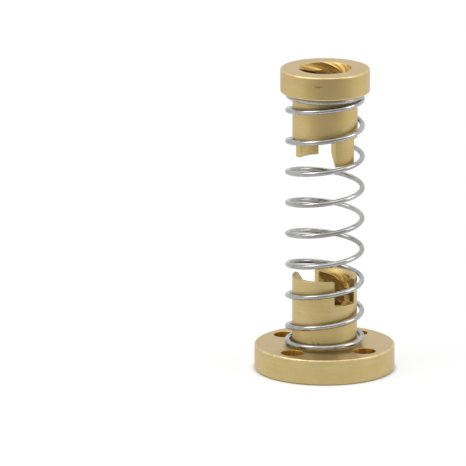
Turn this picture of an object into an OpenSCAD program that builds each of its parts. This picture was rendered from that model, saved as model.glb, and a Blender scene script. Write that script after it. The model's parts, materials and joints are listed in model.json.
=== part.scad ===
// Anti-backlash lead screw nut: a flanged nut and a sprung nut on one
// trapezoidal lead screw, held apart by a coil spring. Millimetres, +Z up,
// origin at the middle of the flange's mounting face.

/* [Flange] */
// Diameter of the mounting flange
flange_d = 22; // [20.5:0.5:30]
// Thickness of the mounting flange
flange_t = 4; // [2.5:0.1:6]
// Diameter of the circle that the screw holes lie on
hole_circle_d = 16; // [15.9:0.1:17]
// Diameter of each screw hole
hole_d = 3.5; // [2:0.1:3.5]
// Number of screw holes
hole_count = 4; // [2:1:6]
// Angle of the first screw hole from the slot
hole_angle = 10; // [0:1:90]

/* [Barrels] */
// Outside diameter of both nuts' barrels
barrel_d = 10.2; // [9.8:0.1:10.6]
// Plain length of the flanged nut's barrel, below its slot
flanged_barrel_len = 7; // [4:0.5:12]
// Plain length of the sprung nut's barrel, above its prongs
sprung_barrel_len = 7.2; // [4:0.1:12]
// Diameter of the sprung nut's collar
collar_d = 14; // [13:0.5:20]
// Thickness of the sprung nut's collar
collar_t = 3.7; // [2:0.1:6]
// Size of the small chamfer on the turned edges
edge_break = 0.2; // [0.05:0.05:0.3]

/* [Dog clutch] */
// Width of the slot cut across the flanged nut's barrel
slot_w = 4; // [2:0.1:6]
// Depth of that slot
slot_depth = 4; // [2:0.5:6]
// Gap on each side of a prong in the slot
slot_side_gap = 0.1; // [0.05:0.05:0.3]
// Gap under a prong's tip when the nuts are pushed together
slot_end_gap = 0.1; // [0.05:0.05:0.5]

/* [Lead screw thread] */
// Outside diameter of the thread, at the bottom of the nut's grooves
thread_major_d = 8.2; // [7.6:0.1:8.6]
// Inside diameter of the thread, at the tops of the nut's ridges
thread_minor_d = 6.2; // [5.6:0.1:7]
// Distance from one ridge to the next
thread_pitch = 2; // [1.5:0.5:3]
// Number of separate threads that run side by side
thread_starts = 4; // [1:1:4]
// Angle of each flank of a ridge
flank_angle = 15; // [10:1:20]
// Angle of the lowest ridge of the flanged nut's thread from the slot
flanged_thread_angle = 6; // [0:1:90]
// Angle of the lowest ridge of the sprung nut's thread from the slot
sprung_thread_angle = 82; // [0:1:90]
// How far the countersink at the slotted end opens beyond the thread
slot_end_countersink = 0.4; // [0.1:0.1:0.7]
// How far the countersinks at the two outer ends open beyond the thread
outer_end_countersink = 0.05; // [0.05:0.05:0.5]
// How far the plain bore between the prongs is cut beyond the thread
prong_bore_gap = 0.05; // [0.05:0.05:0.4]
// How far that bore goes on past the root of the prongs
prong_bore_extra = 1; // [0.2:0.1:2]

/* [Spring] */
// Diameter of the spring wire
wire_d = 0.8; // [0.5:0.05:0.9]
// Gap between the barrels and the inside of the coil
coil_gap = 0.35; // [0.2:0.05:0.6]
// Length of the spring when nothing presses on it
spring_free_len = 40.6; // [30:0.2:60]
// Number of turns of wire from end to end
spring_turns = 9.87; // [6:0.01:14]
// Angle from the slot to the wire's lower end
spring_start_angle = 80; // [0:1:359]
// Gap between the spring's ends and the faces that it pushes on
seat_gap = 0.03; // [0.01:0.01:0.1]

/* [Hidden] */
$fn = 96;

// Flanged nut
slot_floor_z = flange_t + flanged_barrel_len;
flanged_top_z = slot_floor_z + slot_depth;

// Sprung nut, standing on the free spring
prong_w = slot_w - 2 * slot_side_gap;
prong_len = slot_depth - slot_end_gap;
collar_z = flange_t + spring_free_len;
prong_root_z = collar_z - sprung_barrel_len;
prong_tip_z = prong_root_z - prong_len;
sprung_top_z = collar_z + collar_t;

// Thread
thread_lead = thread_pitch * thread_starts;
thread_mid_r = (thread_major_d + thread_minor_d) / 4;
THREAD_STEPS = 24;
// How far the bore is turned past the ridges, so that its facets' corners don't meet theirs
BORE_TURN = 118;
// How far a cutter reaches past the surface that it cuts
CUTTER_REACH = 0.3;

// Spring
coil_r = barrel_d / 2 + coil_gap + wire_d / 2;
spring_low_z = flange_t + seat_gap + wire_d / 2;
spring_high_z = collar_z - seat_gap - wire_d / 2;
// Turns from a wire end to where the coil begins to open, and to where it is fully open
CLOSED_TURNS = 1;
OPEN_TURNS = 1.4;
// The closed turn climbs as this power of the way round, so most of it lies flat
CLOSED_POWER = 3;
COIL_STEPS = 24;
WIRE_SIDES = 8;
BRASS = [0.79, 0.66, 0.38];
STEEL = [0.72, 0.73, 0.74];

// Climb per turn where the closed turn ends
closed_slope = CLOSED_POWER * wire_d;

// Height that one end of the spring gains by its fully open turn, for a pitch p
function end_rise(p) =
    wire_d + (closed_slope + p) / 2 * (OPEN_TURNS - CLOSED_TURNS);

// The pitch at which both ends and the open turns between them fill the spring's height:
// 2 end_rise(p) + p (turns - 2 OPEN_TURNS) = height, solved for p
spring_pitch =
    (spring_high_z - spring_low_z - 2 * wire_d - closed_slope * (OPEN_TURNS - CLOSED_TURNS))
    / (spring_turns - OPEN_TURNS - CLOSED_TURNS);

// Height above its seat of the wire's middle, t turns from the wire's end
function rise(t) =
    t <= CLOSED_TURNS ? wire_d * pow(t / CLOSED_TURNS, CLOSED_POWER)
    : t <= OPEN_TURNS
        ? wire_d + closed_slope * (t - CLOSED_TURNS)
            + (spring_pitch - closed_slope) * pow(t - CLOSED_TURNS, 2)
            / (2 * (OPEN_TURNS - CLOSED_TURNS))
    : end_rise(spring_pitch) + spring_pitch * (t - OPEN_TURNS);

// Height of the wire's middle, t turns from the lower end
function wire_z(t) =
    t <= spring_turns / 2 ? spring_low_z + rise(t)
    : spring_high_z - rise(spring_turns - t);

// Side and end faces of a tube of closed rings, each of n points, listed in order
function tube_faces(rings, n) = concat(
    [[for (k = [n - 1 : -1 : 0]) k]],
    [for (i = [0 : rings - 2], k = [0 : n - 1])
        let (a = i * n + k, b = i * n + (k + 1) % n)
        [a, b, b + n, a + n]],
    [[for (k = [0 : n - 1]) (rings - 1) * n + k]]
);

// One helical groove of trapezoidal section, cutting outwards from the bore
module thread_groove(z0, z1, start_angle) {
    inner_r = thread_minor_d / 2 - CUTTER_REACH;
    outer_r = thread_major_d / 2;
    inner_half = thread_pitch / 4 + (thread_mid_r - inner_r) * tan(flank_angle);
    outer_half = thread_pitch / 4 - (outer_r - thread_mid_r) * tan(flank_angle);
    section = [[inner_r, -inner_half], [outer_r, -outer_half],
               [outer_r, outer_half], [inner_r, inner_half]];
    low = z0 - inner_half - CUTTER_REACH;
    high = z1 + inner_half + CUTTER_REACH;
    steps = ceil((high - low) / thread_lead * THREAD_STEPS);
    points = [for (i = [0 : steps])
        let (turn = i / THREAD_STEPS, a = start_angle + 360 * turn)
        for (q = section)
            [q[0] * cos(a), q[0] * sin(a), low + thread_lead * turn + q[1]]];
    polyhedron(points, tube_faces(steps + 1, len(section)), convexity = 8);
}

// The threaded hole of one nut, right through from z0 to z1
module threaded_hole(z0, z1, start_angle) {
    translate([0, 0, z0 - 1])
        rotate(start_angle + BORE_TURN)
            cylinder(d = thread_minor_d, h = z1 - z0 + 2);
    for (s = [0 : thread_starts - 1])
        thread_groove(z0, z1, start_angle + 360 * s / thread_starts);
}

// The 45 degree countersink of a hole that runs up from z = 0, opened beyond the thread
module countersink(opening) {
    r = thread_major_d / 2 + opening;
    translate([0, 0, -1])
        cylinder(r1 = r + 1, r2 = 1, h = r);
}

// A solid turned about Z from the outline of its outside, given upwards
module turned(outline) {
    bottom = outline[0][1];
    top = outline[len(outline) - 1][1];
    rotate_extrude()
        polygon(concat([[0, bottom]], outline, [[0, top]]));
}

module screw_holes() {
    for (i = [0 : hole_count - 1])
        rotate(hole_angle + 360 * i / hole_count)
            translate([hole_circle_d / 2, 0, -1])
                cylinder(d = hole_d, h = flange_t + 2);
}

module flanged_nut() {
    fr = flange_d / 2;
    br = barrel_d / 2;
    color(BRASS)
        difference() {
            turned([
                [fr - edge_break, 0],
                [fr, edge_break],
                [fr, flange_t - edge_break],
                [fr - edge_break, flange_t],
                [br, flange_t],
                [br, flanged_top_z - edge_break],
                [br - edge_break, flanged_top_z]
            ]);
            threaded_hole(0, flanged_top_z, flanged_thread_angle);
            countersink(outer_end_countersink);
            translate([0, 0, flanged_top_z])
                mirror([0, 0, 1])
                    countersink(slot_end_countersink);
            screw_holes();
            // the slot that takes the prongs
            translate([-barrel_d, -slot_w / 2, slot_floor_z])
                cube([2 * barrel_d, slot_w, slot_depth + 1]);
        }
}

module sprung_nut() {
    cr = collar_d / 2;
    br = barrel_d / 2;
    color(BRASS)
        difference() {
            turned([
                [br - edge_break, prong_tip_z],
                [br, prong_tip_z + edge_break],
                [br, collar_z],
                [cr - edge_break, collar_z],
                [cr, collar_z + edge_break],
                [cr, sprung_top_z - edge_break],
                [cr - edge_break, sprung_top_z]
            ]);
            threaded_hole(prong_tip_z, sprung_top_z, sprung_thread_angle);
            translate([0, 0, sprung_top_z])
                mirror([0, 0, 1])
                    countersink(outer_end_countersink);
            // the plain bore between the prongs
            translate([0, 0, prong_tip_z - 1])
                cylinder(d = thread_major_d + 2 * prong_bore_gap, h = prong_len + prong_bore_extra + 1);
            // the two flats that leave the prongs standing
            for (side = [0, 180])
                rotate(side)
                    translate([-barrel_d, prong_w / 2, prong_tip_z - 1])
                        cube([2 * barrel_d, barrel_d, prong_len + 1]);
        }
}

module spring() {
    steps = ceil(spring_turns * COIL_STEPS);
    points = [for (i = [0 : steps])
        let (t = i * spring_turns / steps,
             a = spring_start_angle + 360 * t,
             dt = 1 / COIL_STEPS / 4,
             climb = atan2(wire_z(min(t + dt, spring_turns)) - wire_z(max(t - dt, 0)),
                           2 * PI * coil_r * (min(t + dt, spring_turns) - max(t - dt, 0))))
        for (k = [0 : WIRE_SIDES - 1])
            let (b = 360 * (k + 0.5) / WIRE_SIDES,
                 out = wire_d / 2 * cos(b),
                 up = wire_d / 2 * sin(b))
            [(coil_r + out) * cos(a) + up * sin(climb) * sin(a),
             (coil_r + out) * sin(a) - up * sin(climb) * cos(a),
             wire_z(t) + up * cos(climb)]];
    color(STEEL)
        polyhedron(points, tube_faces(steps + 1, WIRE_SIDES), convexity = 20);
}

flanged_nut();
spring();
sprung_nut();
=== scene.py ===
# %% [markdown]
# # A spring-loaded lead screw nut
# Two brass nuts run on one lead screw. A coil spring pushes them apart, so that each nut leans on
# its own side of the screw's thread and the play between nut and screw is gone. The lower nut has
# a flange for four screws. The upper nut has two prongs that slide into a slot in the lower one.
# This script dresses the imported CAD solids: it models the three pieces finely and gives them their
# finish. It works in metres, in the frame of the CAD part, with the lead screw along Z.

import json
import math

import bpy
from mathutils import Matrix, Vector


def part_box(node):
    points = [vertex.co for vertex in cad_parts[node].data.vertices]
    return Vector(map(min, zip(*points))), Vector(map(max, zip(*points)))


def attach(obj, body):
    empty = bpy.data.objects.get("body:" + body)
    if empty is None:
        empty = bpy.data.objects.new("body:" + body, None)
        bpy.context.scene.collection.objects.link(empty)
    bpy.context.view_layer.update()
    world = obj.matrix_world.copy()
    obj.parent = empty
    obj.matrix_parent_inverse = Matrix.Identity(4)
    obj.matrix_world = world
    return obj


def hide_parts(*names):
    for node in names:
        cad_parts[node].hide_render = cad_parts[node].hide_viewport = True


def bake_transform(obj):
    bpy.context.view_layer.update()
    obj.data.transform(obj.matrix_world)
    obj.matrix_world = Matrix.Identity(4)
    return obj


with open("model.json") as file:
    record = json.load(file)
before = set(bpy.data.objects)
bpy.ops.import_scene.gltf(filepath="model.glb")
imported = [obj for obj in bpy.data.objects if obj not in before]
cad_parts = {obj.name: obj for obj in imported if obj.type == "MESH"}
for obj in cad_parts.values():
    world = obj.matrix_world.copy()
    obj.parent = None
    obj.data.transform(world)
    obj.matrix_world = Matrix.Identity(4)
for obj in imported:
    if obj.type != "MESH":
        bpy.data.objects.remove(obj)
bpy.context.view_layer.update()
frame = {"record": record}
record = frame["record"]
MM = 0.001

# %% [markdown]
# ## Sizes
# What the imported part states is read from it: the box of each node, the thread's radius, the circle
# of screw holes. The few sizes that it doesn't state follow as named values. The pieces are modelled
# in millimetres, because cuts come out cleaner at that size, and are brought to metres at the end.


# %% Sizes
def in_mm(box):
    return [Vector(corner) / MM for corner in box]


flanged_low, flanged_high = in_mm(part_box("flanged_nut"))
sprung_low, sprung_high = in_mm(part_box("sprung_nut"))
spring_low, spring_high = in_mm(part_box("spring"))
mounts = {mount["name"]: mount["dims"] for mount in record["mounts"]}

FLANGE_R, FLANGE_TOP = 11, 4
BARREL_R = 5.1
COLLAR_R, COLLAR_T = 7, 3.7
EDGE_BREAK = 0.08
HOLE_CIRCLE_R = mounts["flange_bolts"]["pcd_mm"] / 2
HOLE_R = mounts["flange_bolts"]["hole_r_mm"]
HOLE_ANGLE = 10
SLOT_W, SLOT_DEPTH = 4, 4
PRONG_W, PRONG_LEN = 3.8, 3.9
slot_floor = flanged_high.z - SLOT_DEPTH
prong_root = sprung_low.z + PRONG_LEN
collar_under = sprung_high.z - COLLAR_T
for label, height in (("slot floor", slot_floor), ("prong root", prong_root), ("collar", collar_under)):
    print(label, "at", round(height, 2), "mm")

# %% [markdown]
# ## Working by hand, in code
# Every operator acts on what is selected, and the frame arrives selected. So each helper starts by
# selecting nothing but its own piece. A modifier is applied as soon as it is set, which leaves a
# plain mesh, and a cutter is thrown away after its cut.


# %% Helpers for modelling
def select_only(piece):
    bpy.ops.object.select_all(action="DESELECT")
    piece.select_set(True)
    bpy.context.view_layer.objects.active = piece


def new_piece(name):
    piece = bpy.context.object
    piece.name = piece.data.name = name
    return piece


def apply_modifier(piece, kind, **settings):
    select_only(piece)
    modifier = piece.modifiers.new(kind, kind)
    for key, value in settings.items():
        setattr(modifier, key, value)
    bpy.ops.object.modifier_apply(modifier=modifier.name)


def settle(piece):
    """Puts the piece's place, turn and scale into its mesh, and points its faces outwards."""
    select_only(piece)
    bpy.ops.object.transform_apply(location=True, rotation=True, scale=True)
    bpy.ops.object.mode_set(mode="EDIT")
    bpy.ops.mesh.select_all(action="SELECT")
    bpy.ops.mesh.normals_make_consistent(inside=False)
    bpy.ops.object.mode_set(mode="OBJECT")
    return piece


def to_metres(piece):
    """Splits the many-sided faces that cuts leave, then scales the piece from mm to metres."""
    apply_modifier(piece, "TRIANGULATE", min_vertices=5)
    piece.scale = (MM, MM, MM)
    return settle(piece)


def cut(piece, *cutters):
    """Takes each cutter's shape out of the piece."""
    for cutter in cutters:
        settle(cutter)
        apply_modifier(piece, "BOOLEAN", operation="DIFFERENCE", solver="MANIFOLD", object=cutter)
        bpy.data.objects.remove(cutter, do_unlink=True)


# %% [markdown]
# ## Turning a nut
# Both nuts start on the lathe as a stepped bar. In Blender a stepped bar is a filled circle that is
# extruded up and resized at each step of its outline. Spinning a drawn profile would do as well, but
# extruding keeps the mesh in clean rings. The rims of the flange and the collar are rounded off by
# hand with a file, and that round edge catches the light as a thin bright line. It is part of the
# outline here, because a bevel made later would have to work its way round the slot and the holes.

# %% Turn a stepped bar
TURNED_SIDES = 160
RIM_ROUND = 0.24
RIM_STEPS = 4


def rim(radius, height, way):
    """The rounded edge between a side and a face at this height; way is 1 for a side that ends there."""
    corner = []
    for i in range(RIM_STEPS + 1):
        turn = math.radians(90 * i / RIM_STEPS)
        inwards, back = RIM_ROUND * (1 - math.cos(turn)), RIM_ROUND * (1 - math.sin(turn))
        corner.append((radius - inwards, height - way * back))
    return corner[::way]


def turned(name, outline):
    """A solid bar with the outline [(radius, height), ...], from its lowest face up."""
    radius, height = outline[0]
    bpy.ops.mesh.primitive_circle_add(
        vertices=TURNED_SIDES, radius=radius, fill_type="NGON", location=(0, 0, height))
    piece = settle(new_piece(name))
    select_only(piece)
    bpy.ops.object.mode_set(mode="EDIT")
    bpy.ops.mesh.select_all(action="SELECT")
    for next_radius, next_height in outline[1:]:
        bpy.ops.mesh.extrude_region_move(
            TRANSFORM_OT_translate={"value": (0, 0, next_height - height)})
        share = next_radius / radius
        bpy.ops.transform.resize(value=(share, share, 1), center_override=(0, 0, next_height))
        radius, height = next_radius, next_height
    bpy.ops.object.mode_set(mode="OBJECT")
    return settle(piece)


flanged_nut = turned("flanged_nut_dressed", [
    *rim(FLANGE_R, flanged_low.z, -1), *rim(FLANGE_R, FLANGE_TOP, 1),
    (BARREL_R, FLANGE_TOP), (BARREL_R, flanged_high.z)])
sprung_nut = turned("sprung_nut_dressed", [
    (BARREL_R, sprung_low.z), (BARREL_R, collar_under),
    *rim(COLLAR_R, collar_under, -1), *rim(COLLAR_R, sprung_high.z, 1)])
print("turned:", [(nut.name, len(nut.data.polygons)) for nut in (flanged_nut, sprung_nut)])

# %% [markdown]
# ## Milling and drilling
# The slot is milled straight across the lower nut, the upper nut loses a flat on each side so that
# two prongs are left, and four plain holes go through the flange. Each is a Boolean cut. Edges that
# a workshop breaks with a file get a narrow round bevel here, before the thread is cut, because the
# thread's own edges stay crisp.


# %% Tools for milling and drilling
DRILL_SIDES = 64


def block(size, centre):
    bpy.ops.mesh.primitive_cube_add(size=1, location=centre, scale=size)
    return new_piece("cutter")


def drill(angle_deg):
    angle = math.radians(angle_deg)
    bpy.ops.mesh.primitive_cylinder_add(
        vertices=DRILL_SIDES, radius=HOLE_R, depth=4 * FLANGE_TOP,
        location=(HOLE_CIRCLE_R * math.cos(angle), HOLE_CIRCLE_R * math.sin(angle), FLANGE_TOP / 2))
    return new_piece("drill")


# %% Mill the slot and the prongs, drill the holes, break the edges
HOLE_ANGLES = [HOLE_ANGLE + 90 * i for i in range(4)]
DOUBLES = 0.06
SHARP_EDGE = math.radians(40)

long_way = 4 * BARREL_R
cut(flanged_nut, block((long_way, SLOT_W, 2 * SLOT_DEPTH), (0, 0, slot_floor + SLOT_DEPTH)))
cut(flanged_nut, *[drill(angle) for angle in HOLE_ANGLES])
for side in (1, -1):
    middle_y = side * (PRONG_W / 2 + long_way / 2)
    cut(sprung_nut, block((long_way, long_way, 2 * PRONG_LEN), (0, middle_y, prong_root - PRONG_LEN)))
for nut in (flanged_nut, sprung_nut):
    apply_modifier(nut, "WELD", merge_threshold=DOUBLES)
    apply_modifier(nut, "BEVEL", width=EDGE_BREAK, segments=3, limit_method="ANGLE",
                   angle_limit=SHARP_EDGE, use_clamp_overlap=False)
print("milled:", [(nut.name, len(nut.data.polygons)) for nut in (flanged_nut, sprung_nut)])

# %% [markdown]
# ## The four-start thread
# Four grooves run side by side, 2 mm apart, and each climbs 8 mm in a turn. Seen from the end, they
# cut the bore into a star with four points. So the cutter, like a real tap, is that star drawn out
# along Z while it turns: a circle whose points are moved out where a groove is, and a Screw modifier
# that sweeps it. Four swept profiles would also do, but one closed star has no seams to go wrong.

# %% The thread's form
THREAD_MINOR_R = mounts["flanged_nut_thread"]["r_mm"]
THREAD_MAJOR_R = 4.1
STARTS, LEAD = 4, 8
STAR_STEPS = 30
# steps of a start's quarter turn: top of the ridge, flank, bottom of the groove, flank
RIDGE, FLANK, GROOVE = 11, 4, 11
GROOVE_MIDDLE_DEG = 90 / STAR_STEPS * (RIDGE + FLANK + GROOVE / 2)
STEPS_A_TURN = 60


def angle_of(point):
    return math.degrees(math.atan2(point.y, point.x))


def groove_share(step):
    """0 on top of a ridge, 1 at the bottom of a groove."""
    if step <= RIDGE:
        return 0
    if step < RIDGE + FLANK:
        return (step - RIDGE) / FLANK
    if step <= RIDGE + FLANK + GROOVE:
        return 1
    return (STAR_STEPS - step) / FLANK


print("thread:", STARTS, "starts,", LEAD, "mm a turn, radius", THREAD_MINOR_R, "to", THREAD_MAJOR_R, "mm")


# %% Taps and countersinks
CONE_REACH, CONE_TIP_R = 1, 1
TAP_REACH = 0.5


def tap(low, high, groove_deg):
    """A four-start tap from low to high, with a groove at groove_deg at its low end."""
    turns = (high - low) / LEAD
    bpy.ops.mesh.primitive_circle_add(
        vertices=STARTS * STAR_STEPS, radius=THREAD_MINOR_R, location=(0, 0, low))
    piece = settle(new_piece("tap"))
    for vertex in piece.data.vertices:
        step = round(angle_of(vertex.co) % 90 / 90 * STAR_STEPS) % STAR_STEPS
        radius = THREAD_MINOR_R + groove_share(step) * (THREAD_MAJOR_R - THREAD_MINOR_R)
        angle = math.radians(angle_of(vertex.co) + groove_deg - GROOVE_MIDDLE_DEG)
        vertex.co.x, vertex.co.y = radius * math.cos(angle), radius * math.sin(angle)
    steps = round(STEPS_A_TURN * turns)
    apply_modifier(piece, "SCREW", angle=2 * math.pi * turns, screw_offset=high - low,
                   steps=steps, render_steps=steps, iterations=1)
    select_only(piece)
    bpy.ops.object.mode_set(mode="EDIT")
    bpy.ops.mesh.select_all(action="SELECT")
    bpy.ops.mesh.fill_holes(sides=0)
    bpy.ops.object.mode_set(mode="OBJECT")
    return piece


def countersink(face_height, way, mouth_r):
    """A 45 degree cone, mouth_r wide at a face; way is 1 where the hole runs up from it."""
    radius = mouth_r + CONE_REACH
    depth = radius - CONE_TIP_R
    lower, upper = (radius, CONE_TIP_R) if way > 0 else (CONE_TIP_R, radius)
    bpy.ops.mesh.primitive_cone_add(
        vertices=TURNED_SIDES, radius1=lower, radius2=upper, depth=depth,
        location=(0, 0, face_height + way * (depth / 2 - CONE_REACH)))
    return new_piece("countersink")


def thread(nut, low, high, groove_deg):
    """Cuts the thread right through. groove_deg is a groove's angle at height low."""
    cut(nut, tap(low - TAP_REACH, high + TAP_REACH, groove_deg - 360 * TAP_REACH / LEAD))


# %% Cut the threads
LOWER_GROOVE_DEG, UPPER_GROOVE_DEG = 51.5, 37.7
MOUTH_R, TOP_MOUTH_R = 4.15, 4.5
PRONG_BORE_R, PRONG_BORE_EXTRA = 4.15, 1

thread(flanged_nut, flanged_low.z, flanged_high.z, LOWER_GROOVE_DEG)
cut(flanged_nut, countersink(flanged_low.z, 1, MOUTH_R), countersink(flanged_high.z, -1, TOP_MOUTH_R))
thread(sprung_nut, sprung_low.z, sprung_high.z, UPPER_GROOVE_DEG)
cut(sprung_nut, countersink(sprung_high.z, -1, MOUTH_R))
bpy.ops.mesh.primitive_cylinder_add(
    vertices=TURNED_SIDES, radius=PRONG_BORE_R, depth=2 * (PRONG_LEN + PRONG_BORE_EXTRA),
    location=(0, 0, sprung_low.z))
cut(sprung_nut, new_piece("bore"))
print("threaded:", [(nut.name, len(nut.data.polygons)) for nut in (flanged_nut, sprung_nut)])

# %% [markdown]
# ## One filed prong
# The prongs aren't alike: the inside of one has been filed thin towards its tip, most likely to help
# it into the slot. A flat file leaves a flat, so the cut is one tilted block. Sliding the tip's edge
# in edit mode would do it too, but it would drag the round inner face along.

# %% File the prong
FILED_UP, FILED_IN = 2.1, 0.9
PRONG_CORNER_X = 3.7
file_start = Vector((PRONG_CORNER_X, 0, sprung_low.z + FILED_UP))
file_end = Vector((PRONG_CORNER_X + FILED_IN, 0, sprung_low.z))
stroke = (file_end - file_start).normalized()
outwards = Vector((-stroke.z, 0, stroke.x))
file_size = Vector((4, 5, 8))
file_centre = (file_start + file_end) / 2 - outwards * file_size.x / 2
bpy.ops.mesh.primitive_cube_add(
    size=1, location=file_centre, scale=file_size, rotation=(0, math.atan2(-outwards.z, outwards.x), 0))
cut(sprung_nut, new_piece("file"))
print("filed:", sprung_nut.name, len(sprung_nut.data.polygons))

# %% [markdown]
# ## Smooth shading that keeps flat faces flat
# A turned face is round one way and straight the other, with crisp edges between. Shade smooth by
# angle keeps the crisp edges, and the Weighted Normal modifier lets big flat faces decide the
# shading of the narrow bevels next to them.

# %% Shade the nuts
SMOOTH_UNDER = math.radians(35)
for nut in (flanged_nut, sprung_nut):
    to_metres(nut)
    bpy.ops.object.shade_smooth_by_angle(angle=SMOOTH_UNDER)
    apply_modifier(nut, "WEIGHTED_NORMAL", keep_sharp=True, weight=50)
    print(nut.name, "is", [round(side / MM, 2) for side in nut.dimensions], "mm")

# %% [markdown]
# ## The coil spring
# The wire climbs by only its own thickness in the first and last turn, so that the ends lie flat,
# and by 5 mm a turn between them. Its middle line is a formula, so it is drawn as a curve with a
# round section. A Screw modifier would be quicker, but it can't change the climb on the way.

# %% The wire's middle line
WIRE_R, BARREL_GAP = 0.4, 0.35
COIL_R = BARREL_R + BARREL_GAP + WIRE_R
SPRING_TURNS, CLOSED_TURNS, OPEN_TURNS = 9.87, 1, 1.4
SPRING_START_DEG = 80
POINTS_A_TURN = 72

wire_d = 2 * WIRE_R
lowest_middle = spring_low.z + WIRE_R
highest_middle = spring_high.z - WIRE_R
closed_slope = 3 * wire_d  # how fast the cubic in rise() climbs where the closed turn ends
bend = OPEN_TURNS - CLOSED_TURNS
pitch = (highest_middle - lowest_middle - 2 * wire_d - closed_slope * bend) / (
    SPRING_TURNS - OPEN_TURNS - CLOSED_TURNS)


def rise(turns):
    """Height of the wire's middle above its seat, so many turns from its end."""
    if turns <= CLOSED_TURNS:
        return wire_d * turns ** 3
    past = min(turns, OPEN_TURNS) - CLOSED_TURNS
    opening = wire_d + closed_slope * past + (pitch - closed_slope) * past ** 2 / (2 * bend)
    return opening + pitch * max(0, turns - OPEN_TURNS)


def wire_height(turns):
    if turns <= SPRING_TURNS / 2:
        return lowest_middle + rise(turns)
    return highest_middle - rise(SPRING_TURNS - turns)


print("pitch:", round(pitch, 3), "mm; half way up:", round(wire_height(SPRING_TURNS / 2), 2), "mm")

# %% Draw the spring
points = round(SPRING_TURNS * POINTS_A_TURN) + 1
line = bpy.data.curves.new("spring_dressed", "CURVE")
line.dimensions = "3D"
line.bevel_depth, line.bevel_resolution, line.use_fill_caps = WIRE_R, 5, True
spline = line.splines.new("POLY")
spline.points.add(points - 1)
for i, point in enumerate(spline.points):
    turns = i * SPRING_TURNS / (points - 1)
    angle = math.radians(SPRING_START_DEG + 360 * turns)
    point.co = (COIL_R * math.cos(angle), COIL_R * math.sin(angle), wire_height(turns), 1)
spring = bpy.data.objects.new("spring_dressed", line)
bpy.context.scene.collection.objects.link(spring)
select_only(spring)
bpy.ops.object.convert(target="MESH")
spring = new_piece("spring_dressed")
apply_modifier(spring, "WELD", merge_threshold=0.001)
to_metres(spring)
bpy.ops.object.shade_smooth_by_angle(angle=math.radians(40))
print("spring:", len(spring.data.vertices) // points, "points round the wire")

# %% [markdown]
# ## Shader maths in words
# A small class wraps a socket of the node tree, so that `1 - mask` or `radius * 2` adds the Math
# nodes by itself. Any other node comes from one method that takes its type, its settings and what
# goes into its sockets.


# %% Shader helpers
class Signal:
    """A number that changes over a surface."""

    def __init__(self, paint, socket):
        self.paint, self.socket = paint, socket

    def math(self, operation, *inputs):
        node = self.paint.node("ShaderNodeMath", {"operation": operation}, dict(enumerate(inputs)))
        return Signal(self.paint, node.outputs[0])

    def __add__(self, other):
        return self.math("ADD", self, other)

    def __radd__(self, other):
        return self.math("ADD", other, self)

    def __sub__(self, other):
        return self.math("SUBTRACT", self, other)

    def __rsub__(self, other):
        return self.math("SUBTRACT", other, self)

    def __mul__(self, other):
        return self.math("MULTIPLY", self, other)

    def __rmul__(self, other):
        return self.math("MULTIPLY", other, self)

    def __pow__(self, other):
        return self.math("POWER", self, other)

    def between(self, low, high):
        """0 below low, 1 above high, and smooth between them."""
        node = self.paint.node("ShaderNodeMapRange", {"interpolation_type": "SMOOTHSTEP"},
                               {0: self, 1: low, 2: high, 3: 0.0, 4: 1.0})
        return Signal(self.paint, node.outputs[0])


class Paint:
    """The nodes of a new material or world."""

    def __init__(self, owner):
        self.owner = owner
        owner.use_nodes = True
        self.tree = owner.node_tree
        self.tree.nodes.clear()

    def node(self, kind, settings=None, inputs=None):
        made = self.tree.nodes.new(kind)
        for key, value in (settings or {}).items():
            setattr(made, key, value)
        for key, value in (inputs or {}).items():
            if isinstance(value, Signal):
                value = value.socket
            if isinstance(value, bpy.types.NodeSocket):
                self.tree.links.new(value, made.inputs[key])
            else:
                made.inputs[key].default_value = value
        return made

    def place(self):
        """Where a point is on the piece, in millimetres: x, y, z."""
        where = self.node("ShaderNodeTexCoord").outputs["Object"]
        split = self.node("ShaderNodeSeparateXYZ", inputs={0: where})
        return [Signal(self, axis) * (1 / MM) for axis in split.outputs]

    def joined(self, x, y, z):
        return self.node("ShaderNodeCombineXYZ", inputs={0: x, 1: y, 2: z}).outputs[0]

    def noise(self, where, scale, detail=2.0, roughness=0.5):
        node = self.node("ShaderNodeTexNoise", inputs={
            "Vector": where, "Scale": scale, "Detail": detail, "Roughness": roughness})
        return Signal(self, node.outputs[0])

    def mixed(self, share, first, second):
        node = self.node("ShaderNodeMix", {"data_type": "RGBA"}, {0: share, 6: first, 7: second})
        return node.outputs[2]

    def finish(self, **shader):
        principled = self.node("ShaderNodeBsdfPrincipled", inputs={
            key.replace("_", " "): value for key, value in shader.items()})
        self.node("ShaderNodeOutputMaterial", inputs={"Surface": principled.outputs[0]})
        return self.owner


# %% [markdown]
# ## Places on a turned piece
# The colour changes from place to place: in a hole, on a rim, round a pit. Each such place is a
# mask, a number from 0 to 1 that is worked out from where a point lies on the piece. A painted image
# could say the same, but a mask stays sharp however close one looks, and it follows the sizes.


# %% Masks
HOLE_FADE_FROM, HOLE_FADE_TO = 0.05, 0.12
RIM_FADE_FROM, RIM_FADE_TO = 0.12, 0.34


def distance(side, *others):
    """How far apart two points are, from the sides between them along the axes."""
    squares = side * side
    for other in others:
        squares = squares + other * other
    return squares ** 0.5


def in_hole(from_axis, hole_r):
    """1 in a round hole, and 0 from a little way past its edge."""
    return 1 - from_axis.between(hole_r + HOLE_FADE_FROM, hole_r + HOLE_FADE_TO)


def on_rims(radius, z, rims):
    """rims are rounded edges: (radius, height), in mm."""
    share = 0.0
    for rim_r, rim_height in rims:
        away = distance(radius - rim_r, z - rim_height)
        share = share + (1 - away.between(RIM_FADE_FROM, RIM_FADE_TO))
    return share


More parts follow.
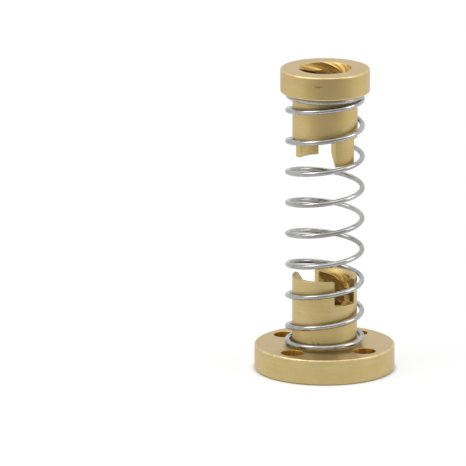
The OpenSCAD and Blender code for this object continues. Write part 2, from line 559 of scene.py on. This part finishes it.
def in_pits(x, y, z, pits):
    """pits are small dark marks: (angle in degrees, radius, height, width, length up), in mm."""
    share = 0.0
    for angle, pit_r, height, width, length in pits:
        px, py = pit_r * math.cos(math.radians(angle)), pit_r * math.sin(math.radians(angle))
        up = (z - height) * (width / length)
        share = share + (1 - distance(x - px, y - py, up).between(width * 0.2, width))
    return share


# %% [markdown]
# ## Tap lines and painted shade along the thread
# A tap scratches fine lines along the thread, and the dark lines here are partly those scratches and
# partly painted shade in the grooves. What stays the same along such a line is its place across the
# groove, which height and angle give together. That place is wound round a circle, once for each
# groove, so that a noise read there joins up with itself all the way round the bore.


# %% Tap lines
def tap_scratches_and_shade(paint, x, y, z):
    across = 2 * math.pi / LEAD * STARTS * z - STARTS * y.math("ARCTAN2", y, x)
    wound = paint.joined(across.math("COSINE", across), across.math("SINE", across), z * 0.2)
    return paint.noise(wound, 1.1, 3.0, 0.7).between(0.36, 0.58)


# %% [markdown]
# ## Turned brass
# The lathe leaves fine rings: level lines on a barrel, circles on a face. One coordinate draws both,
# the distance from the axis plus the height, because only one of them changes on each surface.
# Handling and oil leave slow, cloudy changes of colour and gloss on top. Inside the bore and the
# screw holes the colour is painted more saturated, a painted stand-in for light bounced from brass
# to brass. The rims get a painted highlight, paler here and there, that widens the bright line of
# their rounded edge, and faces that look up get a painted shade, a little darker and greyer.

# %% Brass
FINE_RINGS, COARSE_RINGS = 9, 1.7
RING_BRASS = (0.66, 0.53, 0.28, 1)
SPECK_BRASS = (0.42, 0.30, 0.12, 1)
# These five colours paint light: shade on faces that look up, bounce light in the holes and the thread,
# shade in the thread's grooves (with the tap's scratches), and a highlight on the rims.
TOP_FACE_SHADE_BRASS = (0.52, 0.39, 0.225, 1)
HOLE_BOUNCE_BRASS = (0.66, 0.40, 0.075, 1)
THREAD_BOUNCE_BRASS = (0.67, 0.49, 0.175, 1)
TAP_LINE_AND_SHADE_BRASS = (0.29, 0.155, 0.025, 1)
RIM_HIGHLIGHT_BRASS = (0.70, 0.57, 0.31, 1)
PIT_BROWN = (0.13, 0.085, 0.04, 1)


def turned_brass(name, pale, deep, pits, holes, thread_span, rims):
    """holes are drilled off the axis: (x, y); the thread shows between two heights; all in mm."""
    paint = Paint(bpy.data.materials.new(name))
    x, y, z = paint.place()
    radius = distance(x, y)
    along = radius + z
    fine = paint.noise(paint.joined(along * FINE_RINGS, 0.0, 0.0), 1.0, 2.0)
    coarse = paint.noise(paint.joined(along * COARSE_RINGS, 3.0, 0.0), 1.0, 1.0)
    cloud = paint.noise(paint.joined(x * 0.22, y * 0.22, z * 0.3), 1.0, 3.0, 0.55)
    speckle = paint.noise(paint.joined(x, y, z), 3.0, 3.0, 0.6)
    colour = paint.mixed(cloud.between(0.35, 0.7), pale, deep)
    colour = paint.mixed(coarse.between(0.45, 0.75) * 0.25, colour, RING_BRASS)
    colour = paint.mixed(speckle.between(0.5, 0.75) * 0.18, colour, SPECK_BRASS)

    normal = paint.node("ShaderNodeNewGeometry").outputs["Normal"]
    facing_up = Signal(paint, paint.node("ShaderNodeSeparateXYZ", inputs={0: normal}).outputs[2])
    # Painted shade: faces that look up are made a little darker and greyer.
    colour = paint.mixed(facing_up.between(0.9, 1.0) * 0.5, colour, TOP_FACE_SHADE_BRASS)

    # Painted bounce light: the screw holes are coloured a more saturated, orange brass.
    for hole_x, hole_y in holes:
        colour = paint.mixed(in_hole(distance(x - hole_x, y - hole_y), HOLE_R), colour, HOLE_BOUNCE_BRASS)
    low, high = thread_span
    threaded = z.between(low, low + 0.2) * (1 - z.between(high - 0.5, high))
    threaded = threaded * in_hole(radius, PRONG_BORE_R)
    # Painted bounce light: the threaded bore is coloured a more saturated brass.
    colour = paint.mixed(threaded, colour, THREAD_BOUNCE_BRASS)
    tap_lines_and_shade = threaded * tap_scratches_and_shade(paint, x, y, z)
    # Dark lines along the thread: partly tap scratches, partly painted shade in the grooves.
    colour = paint.mixed(tap_lines_and_shade * 0.85, colour, TAP_LINE_AND_SHADE_BRASS)

    # Painted highlight on the rims, broken into patches by a noise.
    highlight_patches = paint.noise(paint.joined(x, y, z), 0.8, 4.0, 0.7).between(0.3, 0.65)
    colour = paint.mixed(on_rims(radius, z, rims) * highlight_patches, colour, RIM_HIGHLIGHT_BRASS)
    pitted = in_pits(x, y, z, pits)
    colour = paint.mixed(pitted * speckle.between(0.25, 0.6) * 0.8, colour, PIT_BROWN)
    rough = 0.29 + 0.10 * fine + 0.10 * cloud + 0.05 * speckle
    rough = rough + 0.12 * threaded + 0.14 * tap_lines_and_shade + pitted * 0.2
    bump = paint.node("ShaderNodeBump", inputs={
        "Strength": 0.25, "Distance": 0.012 * MM, "Height": 0.6 * fine + 0.4 * coarse})
    return paint.finish(Base_Color=colour, Metallic=1.0, Roughness=rough, Normal=bump.outputs[0])


# %% Dress the nuts
RIM_INSET = 0.05
FLANGED_PITS = [(-61.6, 5.1, 5.2, 0.2, 0.42), (-52.1, 5.1, 5.12, 0.18, 0.4)]
SPRUNG_PITS = [(-54.5, 7.0, 46.87, 0.24, 0.22), (-51.5, 7.0, 46.9, 0.30, 0.2),
               (-48.6, 7.0, 46.82, 0.27, 0.29), (-45.8, 7.0, 46.93, 0.24, 0.15)]


def dress(piece, material):
    piece.data.materials.clear()
    piece.data.materials.append(material)


screw_holes = []
for angle in HOLE_ANGLES:
    hole_angle = math.radians(angle)
    screw_holes.append((HOLE_CIRCLE_R * math.cos(hole_angle), HOLE_CIRCLE_R * math.sin(hole_angle)))
dress(flanged_nut, turned_brass(
    "brass_flanged_nut", (0.58, 0.46, 0.215, 1), (0.55, 0.42, 0.183, 1), FLANGED_PITS, screw_holes,
    (flanged_low.z - 1, flanged_high.z - 0.35), [(FLANGE_R - RIM_INSET, FLANGE_TOP - RIM_INSET)]))
collar_rim_r = COLLAR_R - RIM_INSET
dress(sprung_nut, turned_brass(
    "brass_sprung_nut", (0.595, 0.46, 0.205, 1), (0.57, 0.42, 0.176, 1), SPRUNG_PITS, [],
    (prong_root + PRONG_BORE_EXTRA, sprung_high.z + 0.15),
    [(collar_rim_r, sprung_high.z - RIM_INSET), (collar_rim_r, collar_under + RIM_INSET)]))
for nut in (flanged_nut, sprung_nut):
    print(nut.name, "has", len(nut.data.materials[0].node_tree.nodes), "shader nodes")

# %% [markdown]
# ## Drawn spring wire
# Spring wire is pulled through a die, so it is smooth, with a grey gloss and the odd dull spot of oil.
# Its look comes from what it mirrors, so its own pattern stays faint.


# %% Steel wire
PALE_STEEL, GREY_STEEL = (0.46, 0.46, 0.455, 1), (0.34, 0.34, 0.335, 1)
SCRATCHED_STEEL, OILY_STEEL = (0.22, 0.22, 0.21, 1), (0.12, 0.115, 0.10, 1)


def spring_wire():
    paint = Paint(bpy.data.materials.new("steel_wire"))
    x, y, z = paint.place()
    slow = paint.noise(paint.joined(x, y, z), 0.25, 2.0)
    scratch = paint.noise(paint.joined(x, y, z * 2), 3.0, 3.0, 0.6)
    spots = paint.noise(paint.joined(x, y, z), 0.9, 2.0)
    colour = paint.mixed(slow.between(0.35, 0.65), PALE_STEEL, GREY_STEEL)
    colour = paint.mixed(scratch.between(0.5, 0.7) * 0.35, colour, SCRATCHED_STEEL)
    colour = paint.mixed(spots.between(0.66, 0.74) * 0.5, colour, OILY_STEEL)
    rough = 0.09 + 0.08 * scratch + 0.06 * slow
    bump = paint.node("ShaderNodeBump", inputs={
        "Strength": 0.08, "Distance": 0.006 * MM, "Height": scratch})
    return paint.finish(Base_Color=colour, Metallic=1.0, Roughness=rough, Normal=bump.outputs[0])


dress(spring, spring_wire())
print(spring.name, "has", len(spring.data.materials[0].node_tree.nodes), "shader nodes")

# %% [markdown]
# ## What moves with what
# The lower nut stands still, and the upper nut slides, each under its own body. The spring is tied
# to neither: a share of the slide is worked out for each point of its wire, none at the flange and
# all of it at the collar, but the share is not kept.

# %% Ride and replace
for piece, node in ((flanged_nut, "flanged_nut"), (sprung_nut, "sprung_nut"), (spring, "spring")):
    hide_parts(node)
    print(piece.name, "replaces", node)
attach(flanged_nut, "flanged_nut")
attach(sprung_nut, "sprung_nut")
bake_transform(spring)


# %% Work out the slide's share along the wire
TURN_SLACK = 0.02


def turns_at(point):
    """How many turns up the coil a point of the wire lies, found from its angle and its height."""
    first = (angle_of(point) - SPRING_START_DEG) % 360 / 360
    choices = [first + k for k in range(math.ceil(SPRING_TURNS))]
    choices = [turns for turns in choices if turns <= SPRING_TURNS + TURN_SLACK]
    return min(choices, key=lambda turns: abs(wire_height(turns) - point.z / MM))


lower_closed, upper_closed = wire_height(CLOSED_TURNS), wire_height(SPRING_TURNS - CLOSED_TURNS)
for vertex in spring.data.vertices:
    height = wire_height(turns_at(vertex.co))
    min(1.0, max(0.0, (height - lower_closed) / (upper_closed - lower_closed)))

# %% [markdown]
# ## Camera
# The nut is seen from a little above, through a long lens from far away, so that its circles stay
# nearly the same shape from top to bottom. The camera is aimed past the nut, which puts the nut
# right of the middle of the picture.

# %% Camera
AZIMUTH, ELEVATION, DISTANCE = math.radians(49.4), math.radians(14.3), 1.5
SENSOR, FRAME_SIZE, DOTS_A_METRE = 36.0, 466, 6390
AIM_HEIGHT, AIM_LEFT, AIM_DOWN = 0.023, 0.01436, 0.0012

to_right = Vector((math.cos(AZIMUTH), math.sin(AZIMUTH), 0))
towards = Vector((math.sin(AZIMUTH), -math.cos(AZIMUTH), 0))
to_camera = towards * math.cos(ELEVATION) + Vector((0, 0, math.sin(ELEVATION)))
to_top = to_camera.cross(to_right)
middle = Vector((0, 0, AIM_HEIGHT)) - to_right * AIM_LEFT - to_top * AIM_DOWN
bpy.ops.object.camera_add(location=middle + to_camera * DISTANCE)
camera = bpy.context.object
camera.rotation_euler = Matrix((to_right, to_top, to_camera)).transposed().to_euler()
camera.data.sensor_width = SENSOR
camera.data.lens = DOTS_A_METRE * DISTANCE / FRAME_SIZE * SENSOR
camera.data.clip_end = 10
bpy.context.scene.camera = camera
print("lens:", round(camera.data.lens), "mm")

# %% [markdown]
# ## The floor
# The nut stands on a plain white sweep. A lit matt floor comes out a little grey, so this one glows
# as well, for the camera and in mirrors only, and no extra light falls on the nut. Right round the
# flange it doesn't glow, which leaves the floor darker there: a painted contact shadow on top of the
# real soft shadow where the brass meets the floor.


# %% Floor
FLOOR_R, FLOOR_DROP = 0.11, 0.00002
FLOOR_WHITE, GLOW = 0.82, 1.07
GLOW_SEEN, GLOW_MIRRORED = 0.74, 0.7


def seen_by(paint, *kinds):
    """1 for the named kinds of ray, and 0 for all others."""
    path = paint.node("ShaderNodeLightPath").outputs
    seen = Signal(paint, path[kinds[0]])
    for kind in kinds[1:]:
        seen = seen.math("MAXIMUM", seen, Signal(paint, path[kind]))
    return seen


bpy.ops.mesh.primitive_circle_add(
    vertices=96, radius=FLOOR_R, fill_type="NGON", location=(0, 0, -FLOOR_DROP))
floor = new_piece("floor")
paint = Paint(bpy.data.materials.new("white_floor"))
x, y, z = paint.place()
# Painted contact shadow: no glow in a narrow ring round the flange.
clear_of_nut = distance(x, y).between(FLANGE_R - 0.1, FLANGE_R + 0.8)
glow_share = clear_of_nut * (
    GLOW_SEEN * seen_by(paint, "Is Camera Ray") + GLOW_MIRRORED * seen_by(paint, "Is Glossy Ray"))
matt = paint.node("ShaderNodeBsdfDiffuse", inputs={"Color": (FLOOR_WHITE, FLOOR_WHITE, FLOOR_WHITE, 1)})
glow = paint.node("ShaderNodeEmission", inputs={"Color": (1, 1, 1, 1), "Strength": GLOW})
bright = paint.node("ShaderNodeMixShader", inputs={0: glow_share, 1: matt.outputs[0], 2: glow.outputs[0]})
paint.node("ShaderNodeOutputMaterial", inputs={"Surface": bright.outputs[0]})
dress(floor, paint.owner)
print("floor:", 2 * FLOOR_R, "m across")

# %% [markdown]
# ## The light tent
# Brass takes its look from what it mirrors. In a white light tent that is white nearly all round,
# but dimmer on the side where the camera stands, a little at the back, and brightest overhead. So
# the world changes softly with direction, in mirrors only: that gives the barrels their darker
# middle. Rays that gather light get an even, slightly lower level, and the camera gets plain white.

# %% Light tent
DIM_TURN = math.radians(10)
DIM_FRONT, DIM_BACK, BRIGHT_TOP = 0.62, 0.08, 1.0
GATHERED = 0.8

dim_way = towards * math.cos(DIM_TURN) + to_right * math.sin(DIM_TURN)
world = bpy.data.worlds.new("studio")
bpy.context.scene.world = world
paint = Paint(world)
way = paint.node("ShaderNodeTexCoord").outputs["Generated"]
facing = Signal(paint, paint.node("ShaderNodeVectorMath", {"operation": "DOT_PRODUCT"}, {
    0: way, 1: tuple(dim_way)}).outputs["Value"])
up = Signal(paint, paint.node("ShaderNodeSeparateXYZ", inputs={0: way}).outputs[2])
level = 1 - up.between(0.25, 0.7)
tent = 1 - level * (DIM_FRONT * facing.between(0.05, 1.0) + DIM_BACK * (0 - facing).between(0.3, 1.0))
tent = tent + BRIGHT_TOP * up.between(0.7, 1.0)
direct = seen_by(paint, "Is Camera Ray", "Is Transmission Ray")
mirrored = seen_by(paint, "Is Glossy Ray")
strength = GATHERED + direct * (1 - GATHERED)
strength = strength * (1 - mirrored) + mirrored * tent
sky = paint.node("ShaderNodeBackground", inputs={"Color": (1, 1, 1, 1), "Strength": strength})
paint.node("ShaderNodeOutputWorld", inputs={"Surface": sky.outputs[0]})
print("tent: from", round(1 - DIM_FRONT, 2), "in front to", 1 + BRIGHT_TOP, "overhead")

# %% [markdown]
# ## Two soft lamps
# A large square lamp high on the left and a smaller one on the right give the brass its two soft
# highlights and the floor its faint shadow. Both look at the lower half of the nut.

# %% Lamps
LAMP_AIM = Vector((0, 0, 0.02))


def lamp(name, place, size, power):
    bpy.ops.object.light_add(type="AREA", location=place)
    light = bpy.context.object
    light.name = name
    light.data.size, light.data.energy = size, power
    light.rotation_euler = (LAMP_AIM - place).to_track_quat("-Z", "Y").to_euler()
    print(name, "stands", round((place - LAMP_AIM).length, 2), "m away")


lamp("top_left_lamp", -to_right * 0.35 + towards * 0.15 + Vector((0, 0, 0.45)), 0.3, 1.0)
lamp("right_lamp", to_right * 0.45 + towards * 0.1 + Vector((0, 0, 0.25)), 0.25, 0.5)
bpy.context.scene.view_settings.view_transform = "Standard"
